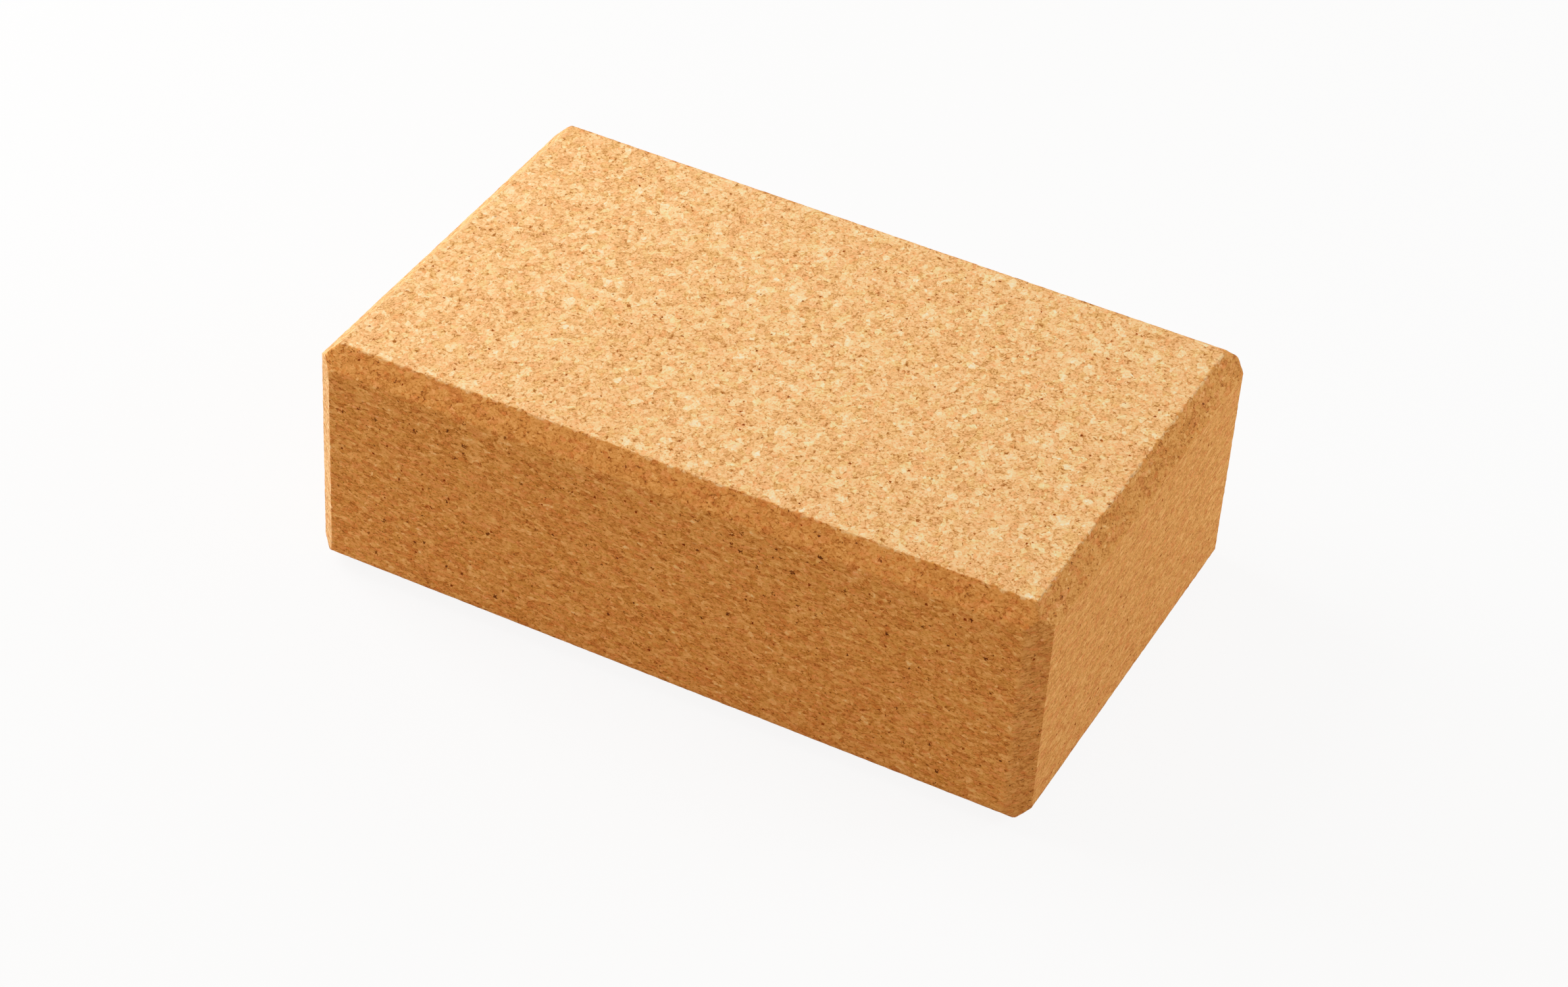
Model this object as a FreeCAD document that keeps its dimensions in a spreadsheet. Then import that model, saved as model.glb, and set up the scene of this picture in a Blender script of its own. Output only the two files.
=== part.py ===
import FreeCAD, Part
import os

import Sketcher

# Yoga block of pressed cork. The real block is sawn from one slab of bonded cork granules, and a
# 45 degree cutter then runs along all twelve edges, four parallel edges to a set-up. Nothing is
# fitted to it, so it is one solid. Lengths are in millimetres. The origin is the middle of the
# base, +X runs along the block, +Y across it, and +Z up, the way the slab was pressed.

# Driving sizes: alias, value and what it measures
SIZES = [
    ("block_length", "224", "long side, along X"),
    ("block_width", "140", "short side of the plan, along Y"),
    ("block_height", "76", "thickness of the slab, along Z"),
    ("edge_bevel", "6", "leg of the bevel along every edge"),
    ("cut_overrun", "2", "how far a bevel cut reaches outside the block"),
]

# The ends of a sketched line, and the sketch's own origin point, as constraints name them
START, END = 1, 2
SKETCH_ORIGIN = (-1, START)

# Distances from a sketch's origin to the outer corner of an off-cut, outside the block
PAST_LENGTH = "sizes.block_length / 2 + sizes.cut_overrun"
PAST_WIDTH = "sizes.block_width / 2 + sizes.cut_overrun"
PAST_TOP = "sizes.block_height + sizes.cut_overrun"
PAST_BASE = "sizes.cut_overrun"
OFF_CUT_LEG = "sizes.edge_bevel + 2 * sizes.cut_overrun"


def make_sheet(doc):
    """Write the driving sizes into a sheet, one aliased cell each."""
    sheet = doc.addObject("Spreadsheet::Sheet", "sizes")
    for row, (alias, value, meaning) in enumerate(SIZES, start=1):
        sheet.set(f"A{row}", alias)
        sheet.set(f"B{row}", value)
        sheet.set(f"C{row}", meaning)
        sheet.setAlias(f"B{row}", alias)
    doc.recompute()


def make_sketch(body, name, role):
    """Return an empty sketch on one of the body's own origin planes."""
    plane = next(plane for plane in body.Origin.OriginFeatures if plane.Role == role)
    sketch = body.newObject("Sketcher::SketchObject", name)
    sketch.AttachmentSupport = [(plane, "")]
    sketch.MapMode = "FlatFace"
    return sketch


def bind(sketch, name, expression, kind, *points):
    """Add a named distance to a sketch and tie it to the sheet."""
    index = sketch.addConstraint(Sketcher.Constraint(kind, *points, sketch.evalExpression(expression)))
    sketch.renameConstraint(index, name)
    sketch.setExpression(f"Constraints.{name}", expression)


def draw_plan(sketch):
    """Draw the slab's rectangle, centred on the sketch's origin."""
    half_length = sketch.evalExpression("sizes.block_length / 2")
    half_width = sketch.evalExpression("sizes.block_width / 2")
    signs = [(-1, -1), (1, -1), (1, 1), (-1, 1)]
    corners = [FreeCAD.Vector(across * half_length, up * half_width) for across, up in signs]
    front, right, back, left = sketch.addGeometry(
        [Part.LineSegment(first, second) for first, second in zip(corners, corners[1:] + corners[:1])]
    )
    sketch.addConstraint([
        Sketcher.Constraint("Coincident", front, END, right, START),
        Sketcher.Constraint("Coincident", right, END, back, START),
        Sketcher.Constraint("Coincident", back, END, left, START),
        Sketcher.Constraint("Coincident", left, END, front, START),
        Sketcher.Constraint("Horizontal", front),
        Sketcher.Constraint("Horizontal", back),
        Sketcher.Constraint("Vertical", right),
        Sketcher.Constraint("Vertical", left),
        Sketcher.Constraint("Symmetric", front, START, right, END, *SKETCH_ORIGIN),
    ])
    bind(sketch, "length", "sizes.block_length", "DistanceX", front, START, front, END)
    bind(sketch, "width", "sizes.block_width", "DistanceY", right, START, right, END)


def place(sketch, name, kind, line, side, expression):
    """Hold a line's start at a distance from the sketch's origin, on the side given by the sign."""
    towards = (*SKETCH_ORIGIN, line, START) if side > 0 else (line, START, *SKETCH_ORIGIN)
    bind(sketch, name, expression, kind, *towards)


def draw_off_cut(sketch, name, across, up):
    """Draw the right-angled triangle that the cutter takes off one corner of the section.

    across and up each give the side of the origin, 1 or -1, and the distance to the triangle's
    square corner, which lies outside the block by the overrun.
    """
    (side, reach), (level, rise) = across, up
    leg = sketch.evalExpression(OFF_CUT_LEG)
    square = FreeCAD.Vector(side * sketch.evalExpression(reach), level * sketch.evalExpression(rise))
    inward = square - FreeCAD.Vector(side * leg, 0)
    downward = square - FreeCAD.Vector(0, level * leg)
    flat, upright, bevel = sketch.addGeometry([
        Part.LineSegment(square, inward),
        Part.LineSegment(square, downward),
        Part.LineSegment(inward, downward),
    ])
    sketch.addConstraint([
        Sketcher.Constraint("Coincident", flat, START, upright, START),
        Sketcher.Constraint("Coincident", flat, END, bevel, START),
        Sketcher.Constraint("Coincident", upright, END, bevel, END),
        Sketcher.Constraint("Horizontal", flat),
        Sketcher.Constraint("Vertical", upright),
        Sketcher.Constraint("Equal", flat, upright),
    ])
    bind(sketch, f"{name}_leg", OFF_CUT_LEG, "Distance", flat, START, flat, END)
    place(sketch, f"{name}_across", "DistanceX", flat, side, reach)
    place(sketch, f"{name}_up", "DistanceY", flat, level, rise)


def bevel_edges(body, name, role, sides, levels):
    """Bevel the four parallel edges that cross one origin plane, right through the block."""
    before = body.Tip.Shape.Volume
    sketch = make_sketch(body, f"{name}_off_cuts", role)
    corners = [(across, up) for across in sides for up in levels]
    for number, (across, up) in enumerate(corners, start=1):
        draw_off_cut(sketch, f"corner_{number}", across, up)
    cut = body.newObject("PartDesign::Pocket", f"{name}_bevels")
    cut.Profile = sketch
    cut.Type = "ThroughAll"
    cut.SideType = "Symmetric"
    body.Document.recompute()
    if cut.Shape.isNull() or cut.Shape.Volume >= before:
        raise RuntimeError(f"{name} bevels took nothing off the block")


def make_cork_block(doc):
    """Saw the slab to size, then bevel its edges: the long ones, the end ones and the uprights.

    Each cut runs the full way through, so three bevels meet at every corner in a mitred point.
    """
    body = doc.addObject("PartDesign::Body", "cork_block")
    body.Label = "cork_block"
    plan = make_sketch(body, "slab_plan", "XY_Plane")
    draw_plan(plan)
    slab = body.newObject("PartDesign::Pad", "slab")
    slab.Profile = plan
    slab.setExpression("Length", "sizes.block_height")
    doc.recompute()

    both_ends = [(1, PAST_LENGTH), (-1, PAST_LENGTH)]
    both_sides = [(1, PAST_WIDTH), (-1, PAST_WIDTH)]
    top_and_base = [(1, PAST_TOP), (-1, PAST_BASE)]
    bevel_edges(body, "long_edge", "YZ_Plane", both_sides, top_and_base)
    bevel_edges(body, "end_edge", "XZ_Plane", both_ends, top_and_base)
    bevel_edges(body, "upright_edge", "XY_Plane", both_ends, both_sides)
    return body


def check(doc, bodies):
    """Stop if any object failed to rebuild or any piece isn't one sound solid."""
    for item in doc.Objects:
        if "Invalid" in item.State or "Error" in item.State:
            raise RuntimeError(f"{item.Name} failed: {item.State}")
    for body in bodies:
        if body.Shape.isNull() or not body.Shape.isValid() or len(body.Shape.Solids) != 1:
            raise RuntimeError(f"{body.Label} isn't one sound solid")


def write(bodies):
    """Write each piece to its own file and print its size."""
    os.makedirs("parts", exist_ok=True)
    for body in bodies:
        body.Shape.exportStep(f"parts/{body.Label}.step")
        box = body.Shape.BoundBox
        print(f"{body.Label}: {box.XLength:.2f} x {box.YLength:.2f} x {box.ZLength:.2f} mm,"
              f" {body.Shape.Volume:.1f} mm3, {len(body.Shape.Faces)} faces")


def main():
    """Build the block, check it and write it."""
    doc = FreeCAD.newDocument("yoga_block")
    make_sheet(doc)
    bodies = [make_cork_block(doc)]
    doc.recompute()
    check(doc, bodies)
    write(bodies)


main()
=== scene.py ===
"""Yoga block of pressed cork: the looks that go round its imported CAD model.

The real block is sawn out of one slab of bonded cork granules, sanded, and bevelled along all twelve
edges. Its colour is nothing but the granules: pressed flat by the slab's press, so that the top and the
base show their broad sides and the cut faces show them as streaks. Lengths are in millimetres and are
turned to metres where Blender needs them. +Z is the way the slab was pressed.
"""

import logging
import math
from dataclasses import dataclass, field
from enum import Enum
from typing import Any

import bmesh
import bpy
from bpy.types import Material, Node, NodeOutputs, NodeSocket, NodeTree, Object
from mathutils import Matrix, Vector


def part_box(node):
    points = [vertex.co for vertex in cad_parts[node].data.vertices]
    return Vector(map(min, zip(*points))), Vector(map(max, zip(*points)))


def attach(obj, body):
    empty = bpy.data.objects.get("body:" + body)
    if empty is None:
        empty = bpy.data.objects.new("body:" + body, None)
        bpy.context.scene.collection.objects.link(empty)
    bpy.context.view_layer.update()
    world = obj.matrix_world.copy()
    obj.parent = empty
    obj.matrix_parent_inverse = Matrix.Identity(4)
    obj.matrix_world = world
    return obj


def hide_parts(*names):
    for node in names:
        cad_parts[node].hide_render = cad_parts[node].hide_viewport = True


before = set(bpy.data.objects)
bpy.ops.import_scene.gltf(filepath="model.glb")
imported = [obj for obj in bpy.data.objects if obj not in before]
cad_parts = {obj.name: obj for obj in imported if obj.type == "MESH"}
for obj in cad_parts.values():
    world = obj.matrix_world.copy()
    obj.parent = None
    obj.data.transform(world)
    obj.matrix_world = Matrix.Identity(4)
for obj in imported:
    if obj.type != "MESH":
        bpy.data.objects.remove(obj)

MM = 0.001
HALF = 0.5
NOISE_MEAN = 0.5
ZERO = (0, 0, 0)
ONE = (1, 1, 1)
WHITE = "#FFFFFF"
SRGB_LEVELS = 255
SRGB_KNEE = 0.04045
SRGB_SLOPE = 12.92
SRGB_OFFSET = 0.055
SRGB_POWER = 2.4
CAD_NODE = "cork_block"
CAD_BODY = "root"

log = logging.getLogger("yoga_block")


def linear(hex_colour: str) -> tuple[float, float, float, float]:
    """Turn an sRGB hex colour into Blender's linear colour.

    Args:
        hex_colour: Colour such as "#E9BA80".

    Returns:
        Red, green, blue and an alpha of 1.
    """
    levels = []
    for part in bytes.fromhex(hex_colour.lstrip("#")):
        share = part / SRGB_LEVELS
        curved = ((share + SRGB_OFFSET) / (1 + SRGB_OFFSET)) ** SRGB_POWER
        levels.append(share / SRGB_SLOPE if share <= SRGB_KNEE else curved)
    return (*levels, 1.0)


def add_node(
    tree: NodeTree, kind: str, inputs: tuple[Any, ...] | dict[str | int, Any] = (), **settings: Any
) -> Node:
    """Add a node to a tree, set it up and link what feeds it.

    Args:
        tree: Shader, world or geometry tree that gets the node.
        kind: Blender's type name of the node.
        inputs: What the live inputs get, in their order, or each by its name or place: a node, whose
            first live output is linked, a socket to link, or a plain value.
        settings: The node's own properties.

    Returns:
        The new node.
    """
    node = tree.nodes.new(kind)
    for name, value in settings.items():
        setattr(node, name, value)
    live = [socket for socket in node.inputs if socket.enabled]
    named = {socket.name: socket for socket in reversed(live)}
    for key, value in inputs.items() if isinstance(inputs, dict) else enumerate(inputs):
        socket = live[key] if isinstance(key, int) else named[key]
        if isinstance(value, Node):
            value = next(output for output in value.outputs if output.enabled)
        if isinstance(value, NodeSocket):
            tree.links.new(value, socket)
        else:
            socket.default_value = value
    return node


class Mark(str, Enum):
    """Names of the mesh attributes that tell the relief and the finish what a face or point is."""

    # Pressed faces, with a share on the faces that lean left as a painted highlight
    PRESSED_AND_LIT = "pressed"
    RIM = "rim"
    BEVEL = "bevel"
    END = "end"
    CORNER = "corner"
    DUST = "dust"
    PIT = "pit"


@dataclass(frozen=True)
class Granules:
    """How the cork granules lie in the slab, the same for the relief and for the colour.

    Sizes are in millimetres. press is how many times flatter than long a coarse granule is, fine_press
    the same for a fine one, and lie how many times longer across the block than along it they are. bend
    is how far their outlines wander, and blur how softly one coarse granule turns into the next.
    """

    coarse: float = 2.3
    fine: float = 1.15
    press: float = 2.1
    fine_press: float = 1.8
    lie: float = 1.2
    bend: float = 1.0
    bend_size: float = 2.4
    bend_detail: float = 2.0
    blur: float = 0.2

    def place(self, tree: NodeTree, position: NodeSocket, press: float) -> Node:
        """Turn a place on the block into the granules' own millimetres, unpressed and bent.

        Args:
            tree: Tree that gets the nodes.
            position: Place on the block, in metres.
            press: How many times flatter than long the granules are.

        Returns:
            Node whose output the cell patterns read.
        """
        scale = (1 / MM, 1 / MM / self.lie, press / MM)
        straight = add_node(tree, "ShaderNodeVectorMath", (position, scale), operation="MULTIPLY")
        noise = add_node(
            tree, "ShaderNodeTexNoise",
            {"Vector": straight, "Scale": 1 / self.bend_size, "Detail": self.bend_detail},
        )
        middle = (NOISE_MEAN,) * 3
        centred = add_node(
            tree, "ShaderNodeVectorMath", (noise.outputs["Color"], middle), operation="SUBTRACT"
        )
        reach = (self.bend / HALF,) * 3
        return add_node(tree, "ShaderNodeVectorMath", (centred, reach, straight), operation="MULTIPLY_ADD")


class CorkPattern:
    """What pressed cork is drawn from, as nodes of one shader tree: granules, noises and face marks."""

    def __init__(self, tree: NodeTree, granules: Granules, grain_size: float, wrinkle_size: float) -> None:
        """Add the nodes that every feature of the cork reads.

        Args:
            tree: Shader tree that gets the nodes.
            granules: How the granules lie.
            grain_size: Size of the finest lumps, in millimetres.
            wrinkle_size: Size of the wrinkles, in millimetres of the granules.
        """
        self.tree = tree
        place = add_node(tree, "ShaderNodeTexCoord").outputs["Object"]
        self.plain = add_node(tree, "ShaderNodeVectorMath", {0: place, "Scale": 1 / MM}, operation="SCALE")
        cells = granules.place(tree, place, granules.press)
        self.bits = granules.place(tree, place, granules.fine_press)

        # Each granule's random colour gives three draws, which the features share out among them
        coarse = add_node(
            tree, "ShaderNodeTexVoronoi",
            {"Vector": cells, "Scale": 1 / granules.coarse, "Smoothness": granules.blur},
            feature="SMOOTH_F1",
        )
        fine = add_node(tree, "ShaderNodeTexVoronoi", {"Vector": self.bits, "Scale": 1 / granules.fine})
        seam = add_node(
            tree, "ShaderNodeTexVoronoi", {"Vector": cells, "Scale": 1 / granules.coarse},
            feature="DISTANCE_TO_EDGE",
        )
        self.seam = seam.outputs[0]
        self.turn = fine.outputs["Color"]
        self.coarse = add_node(tree, "ShaderNodeSeparateColor", {"Color": coarse.outputs["Color"]}).outputs
        self.fine = add_node(tree, "ShaderNodeSeparateColor", {"Color": self.turn}).outputs

        grain = add_node(
            tree, "ShaderNodeTexNoise", {"Vector": self.plain, "Scale": 1 / grain_size, "Detail": 0.0}
        )
        wrinkle = add_node(
            tree, "ShaderNodeTexNoise", {"Vector": self.bits, "Scale": 1 / wrinkle_size, "Detail": 0.0}
        )
        self.grain = grain.outputs[0]
        self.wrinkle = wrinkle.outputs[0]
        self.bevel = add_node(tree, "ShaderNodeAttribute", attribute_name=Mark.BEVEL.value).outputs["Fac"]
        self.end = add_node(tree, "ShaderNodeAttribute", attribute_name=Mark.END.value).outputs["Fac"]


@dataclass(frozen=True)
class Tint:
    """A colour that some granules take: the draws where it starts and where it is full, and its share."""

    colour: str
    draws: tuple[float, float]
    share: float


@dataclass(frozen=True)
class PressedCork:
    """Agglomerated cork: granules bonded under pressure, sawn, sanded and left bare.

    To the eye it is matt and warm: granules of much the same honey tone, a few of them cream or peach,
    with short brown lines where they meet, dark specks of bark, and no gloss. The sawn faces and bevels
    are more orange than the pressed top and base, partly from how the granules are cut and partly as
    painted light: the top's sheen painted pale and the sides' shade painted deeper orange. The faces that
    lean left take some of the pressed tones as a painted highlight. The ends are the calmest. Sizes are in
    millimetres.
    A tone runs from 0, the palette's dark end, to 1, and a share is how much of that a feature takes up.
    A feature's draws are where it starts and where it is full.
    """

    granules: Granules = field(default_factory=Granules)
    name: str = "pressed cork, sanded"

    # Tones from bark to the palest flakes, the pressed faces' and the sawn ones'. Their difference is
    # partly the granules' cut and partly painted light: the pressed tones paler for the top's sheen, the
    # sawn ones deeper orange for the sides' shade
    pressed_and_lit_tones: tuple[str, ...] = ("#AC6826", "#DEA460", "#FFCB8D", "#FFE6B2", "#FFF6DC")
    sawn_and_shaded_tones: tuple[str, ...] = ("#6C3400", "#BF7024", "#E9A352", "#FFC074", "#FFDA9E")

    # Tints of single granules, more of the peach ones where sawn
    peach: Tint = Tint("#FFE7F1", (0.60, 0.85), 0.16)
    straw: Tint = Tint("#F9FFE7", (0.60, 0.85), 0.42)
    rust: Tint = Tint("#FFD2AE", (0.16, 0.06), 0.34)
    sawn_tint: float = 3.4

    # Wear: rubbed bevels, loose flakes on the end rims and a torn line round the pressed faces; and painted
    # shade darkening the pits
    rubbed: str = "#D2A472"
    rubbed_share: float = 0.08
    pit: str = "#D8B080"
    dust: Tint = Tint("#FFE2B0", (0.5, 0.8), 0.45)
    rim_tear: float = 1.2
    rim_blur: float = 0.18

    # Granule to granule. A cork cell of about 0.04 mm can't show, so the grain is drawn ten times as coarse
    coarse_share: float = 0.16
    fine_share: float = 0.16
    grain_share: float = 0.16
    grain_size: float = 0.42
    flake_draws: tuple[float, float] = (0.34, 0.0)
    flake_rag: float = 0.5
    flake_share: float = 0.22
    chip_draw: float = 0.93
    chip_share: float = 0.15

    # Growth lines, fainter where sawn and faintest on the ends, and the cracks along them
    streak_width: float = 0.5
    streak_length: float = 1.1
    streak_press: float = 1.7
    streak_share: float = 0.50
    sawn_streaks: float = 0.62
    bevel_streaks: float = 0.05
    end_streaks: float = -0.5
    crack_draws: tuple[float, float] = (0.36, 0.2)
    crack_share: float = 0.12

    # Brown gaps: wrinkles across granules, and broken stretches of the seams between them
    gap_size: float = 1.6
    gap_width: float = 0.07
    gap_draws: tuple[float, float] = (0.5, 0.8)
    gap_share: float = 0.31
    sawn_gaps: float = 0.8
    seam_width: float = 0.11
    seam_draws: tuple[float, float] = (0.54, 0.66)
    seam_size: float = 1.2

    # Specks of bark, with ragged outlines
    speck_size: float = 2.6
    speck_draw: float = 0.8
    speck_reach: float = 0.24
    speck_wobble: float = 0.6
    speck_blur: float = 0.05
    speck_share: float = 0.44

    # The ends: less contrast from granule to granule, fewer specks, more grain
    end_contrast: float = 0.6
    end_bark: float = 0.3
    end_grain: float = 0.34

    # Sanded cork has hardly a gloss, and a faint nap of torn cell walls that pales it at a low angle
    bump: float = 0.5
    granule_bump: float = 0.02
    grain_bump: float = 0.03
    roughness: float = 0.88
    specular: float = 0.10
    nap: float = 0.05
    nap_roughness: float = 0.5

    def material(self) -> Material:
        """Build the finish.

        Returns:
            Material for the whole block.
        """
        material = bpy.data.materials.new(self.name)
        material.use_nodes = True
        tree = material.node_tree
        tree.nodes.clear()
        pattern = CorkPattern(tree, self.granules, self.grain_size, self.gap_size)
        pressed = self.pressed(pattern)
        colour = self.palette(pattern, self.tone(pattern, pressed), pressed)
        colour = self.tint(pattern, colour, pressed)
        height = add_node(
            tree, "ShaderNodeMath", (pattern.coarse["Red"], self.granule_bump), operation="MULTIPLY"
        )
        height = add_node(
            tree, "ShaderNodeMath", (pattern.grain, self.grain_bump, height), operation="MULTIPLY_ADD"
        )
        bump = add_node(tree, "ShaderNodeBump", {"Strength": self.bump, "Distance": MM, "Height": height})
        shader = add_node(tree, "ShaderNodeBsdfPrincipled", {
            "Base Color": colour,
            "Roughness": self.roughness,
            "Specular IOR Level": self.specular,
            "Sheen Weight": self.nap,
            "Sheen Roughness": self.nap_roughness,
            "Normal": bump,
        })
        add_node(tree, "ShaderNodeOutputMaterial", {"Surface": shader})
        return material

    def pressed(self, pattern: CorkPattern) -> Node:
        """Tell the pressed faces from the sawn ones, with an uneven line where they meet.

        Args:
            pattern: The granules.

        Returns:
            Node with 1 on the top and base, part of that on what leans left as a painted highlight,
            and 0 elsewhere.
        """
        tree = pattern.tree
        mark = add_node(tree, "ShaderNodeAttribute", attribute_name=Mark.PRESSED_AND_LIT.value).outputs["Fac"]
        torn = add_node(
            tree, "ShaderNodeMath", (pattern.wrinkle, self.rim_tear, mark), operation="MULTIPLY_ADD"
        )
        middle = HALF + NOISE_MEAN * self.rim_tear
        return add_node(tree, "ShaderNodeMapRange", {
            "Value": torn, "From Min": middle - self.rim_blur, "From Max": middle + self.rim_blur,
        })

    def tone(self, pattern: CorkPattern, pressed: Node) -> Node:
        """Draw each granule's tone, with its growth lines and the light and dark marks on it.

        Args:
            pattern: The granules.
            pressed: Where the pressed faces are, whose lines and gaps are the stronger, and a share of
            that on what leans left as a painted highlight.

        Returns:
            Node with the tone, from 0 to 1.
        """
        tree = pattern.tree
        drawn = self.growth_lines(pattern)
        crack = add_node(tree, "ShaderNodeMapRange", {
            "Value": drawn, "From Min": self.crack_draws[0], "From Max": self.crack_draws[1],
        })
        strength = add_node(tree, "ShaderNodeMapRange", {"Value": pressed, "To Min": self.sawn_streaks})
        for face, change in ((pattern.bevel, self.bevel_streaks), (pattern.end, self.end_streaks)):
            strength = add_node(tree, "ShaderNodeMath", (face, change, strength), operation="MULTIPLY_ADD")
        lines = add_node(tree, "ShaderNodeMath", (drawn, NOISE_MEAN), operation="SUBTRACT")
        lines = add_node(tree, "ShaderNodeMath", (lines, strength), operation="MULTIPLY")
        chip = add_node(
            tree, "ShaderNodeMath", (pattern.fine["Blue"], self.chip_draw), operation="GREATER_THAN"
        )
        spreads = (
            (pattern.coarse["Red"], self.coarse_share),
            (pattern.fine["Red"], self.fine_share),
            (pattern.grain, self.grain_share),
        )
        marks = (
            (lines, self.streak_share),
            (self.flakes(pattern), self.flake_share),
            (chip, self.chip_share),
            (crack, -self.crack_share),
            (self.gaps(pattern, pressed), -self.gap_share),
            (self.bark(pattern), -self.speck_share),
        )
        tone: Any = -NOISE_MEAN * sum(share for _, share in spreads)
        for level, share in spreads + marks:
            tone = add_node(tree, "ShaderNodeMath", (level, share, tone), operation="MULTIPLY_ADD")

        contrast = add_node(
            tree, "ShaderNodeMapRange", {"Value": pattern.end, "To Min": 1.0, "To Max": self.end_contrast}
        )
        tone = add_node(tree, "ShaderNodeMath", (tone, contrast, HALF), operation="MULTIPLY_ADD")
        finer = add_node(tree, "ShaderNodeMath", (pattern.grain, NOISE_MEAN), operation="SUBTRACT")
        finer = add_node(tree, "ShaderNodeMath", (finer, pattern.end), operation="MULTIPLY")
        return add_node(tree, "ShaderNodeMath", (finer, self.end_grain, tone), operation="MULTIPLY_ADD")

    def growth_lines(self, pattern: CorkPattern) -> NodeSocket:
        """Draw growth lines, turned another way in each granule.

        Args:
            pattern: The granules.

        Returns:
            Level of the lines, about 0.5 on average.
        """
        tree = pattern.tree
        turn = add_node(
            tree, "ShaderNodeVectorMath", {0: pattern.turn, "Scale": math.tau}, operation="SCALE"
        )
        flat = add_node(
            tree, "ShaderNodeVectorMath", (pattern.plain, (1, 1, self.streak_press)), operation="MULTIPLY"
        )
        turned = add_node(
            tree, "ShaderNodeVectorRotate", {"Vector": flat, "Rotation": turn}, rotation_type="EULER_XYZ"
        )
        lines = (1 / self.streak_width, 1 / self.streak_length, 1 / self.streak_length)
        drawn_out = add_node(tree, "ShaderNodeVectorMath", (turned, lines), operation="MULTIPLY")
        noise = add_node(tree, "ShaderNodeTexNoise", {"Vector": drawn_out, "Scale": 1.0, "Detail": 0.0})
        return noise.outputs[0]

    def flakes(self, pattern: CorkPattern) -> Node:
        """Draw the pale flakes, which the bevels have lost.

        Args:
            pattern: The granules.

        Returns:
            Node with the flakes, 1 where one is palest.
        """
        tree = pattern.tree
        rag = add_node(tree, "ShaderNodeMath", (pattern.wrinkle, NOISE_MEAN), operation="SUBTRACT")
        flake = add_node(
            tree, "ShaderNodeMath", (rag, self.flake_rag, pattern.coarse["Green"]), operation="MULTIPLY_ADD"
        )
        flake = add_node(tree, "ShaderNodeMapRange", {
            "Value": flake, "From Min": self.flake_draws[0], "From Max": self.flake_draws[1],
        })
        kept = add_node(
            tree, "ShaderNodeMapRange", {"Value": pattern.bevel, "From Min": 1.0, "From Max": 0.0}
        )
        return add_node(tree, "ShaderNodeMath", (flake, kept), operation="MULTIPLY")

    def gaps(self, pattern: CorkPattern, pressed: Node) -> Node:
        """Draw the brown gaps: some across granules, and broken stretches of the seams between them.

        Args:
            pattern: The granules.
            pressed: Where the pressed faces are, whose gaps are the darker, and a share of that on what
            leans left as a painted highlight.

        Returns:
            Node with the gaps, 1 where one is deepest.
        """
        tree = pattern.tree
        away = add_node(tree, "ShaderNodeMath", (pattern.wrinkle, NOISE_MEAN), operation="SUBTRACT")
        away = add_node(tree, "ShaderNodeMath", (away,), operation="ABSOLUTE")
        gap = add_node(
            tree, "ShaderNodeMapRange", {"Value": away, "From Min": self.gap_width, "From Max": 0.0}
        )
        chosen = add_node(tree, "ShaderNodeMapRange", {
            "Value": pattern.fine["Green"], "From Min": self.gap_draws[0], "From Max": self.gap_draws[1],
        })
        gap = add_node(tree, "ShaderNodeMath", (gap, chosen), operation="MULTIPLY")
        seam = add_node(tree, "ShaderNodeMapRange", {
            "Value": pattern.seam, "From Min": self.seam_width, "From Max": 0.0,
        })
        stretches = add_node(
            tree, "ShaderNodeTexNoise", {"Vector": pattern.bits, "Scale": 1 / self.seam_size, "Detail": 0.0}
        )
        broken = add_node(tree, "ShaderNodeMapRange", {
            "Value": stretches.outputs[0], "From Min": self.seam_draws[0], "From Max": self.seam_draws[1],
        })
        seam = add_node(tree, "ShaderNodeMath", (seam, broken), operation="MULTIPLY")
        either = add_node(tree, "ShaderNodeMath", (gap, seam), operation="MAXIMUM")
        strength = add_node(tree, "ShaderNodeMapRange", {"Value": pressed, "To Min": self.sawn_gaps})
        return add_node(tree, "ShaderNodeMath", (either, strength), operation="MULTIPLY")

    def bark(self, pattern: CorkPattern) -> Node:
        """Draw specks of bark, each with its own size and a ragged outline, and fewer on the ends.

        Args:
            pattern: The granules.

        Returns:
            Node with the specks, 1 inside one.
        """
        tree = pattern.tree
        speck = add_node(
            tree, "ShaderNodeTexVoronoi", {"Vector": pattern.plain, "Scale": 1 / self.speck_size}
        )
        draw = add_node(tree, "ShaderNodeSeparateColor", {"Color": speck.outputs["Color"]}).outputs["Red"]
        reach = add_node(tree, "ShaderNodeMapRange", {
            "Value": draw, "From Min": self.speck_draw, "From Max": 1.0, "To Max": self.speck_reach,
        })
        ragged = add_node(
            tree, "ShaderNodeMath",
            (pattern.grain, self.speck_wobble, speck.outputs["Distance"]),
            operation="MULTIPLY_ADD",
        )
        inside = add_node(tree, "ShaderNodeMath", (reach, ragged), operation="SUBTRACT")
        edge = -NOISE_MEAN * self.speck_wobble
        inside = add_node(tree, "ShaderNodeMapRange", {
            "Value": inside, "From Min": edge - self.speck_blur, "From Max": edge + self.speck_blur,
        })
        fewer = add_node(
            tree, "ShaderNodeMapRange", {"Value": pattern.end, "To Min": 1.0, "To Max": self.end_bark}
        )
        return add_node(tree, "ShaderNodeMath", (inside, fewer), operation="MULTIPLY")

    def palette(self, pattern: CorkPattern, tone: Node, pressed: Node) -> Node:
        """Turn tones into colours.

        Args:
            pattern: The granules.
            tone: Tone, from 0 to 1.
            pressed: Where the pressed faces are, and a share of that on what leans left as a painted
            highlight.

        Returns:
            Node with the colour.
        """
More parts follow.
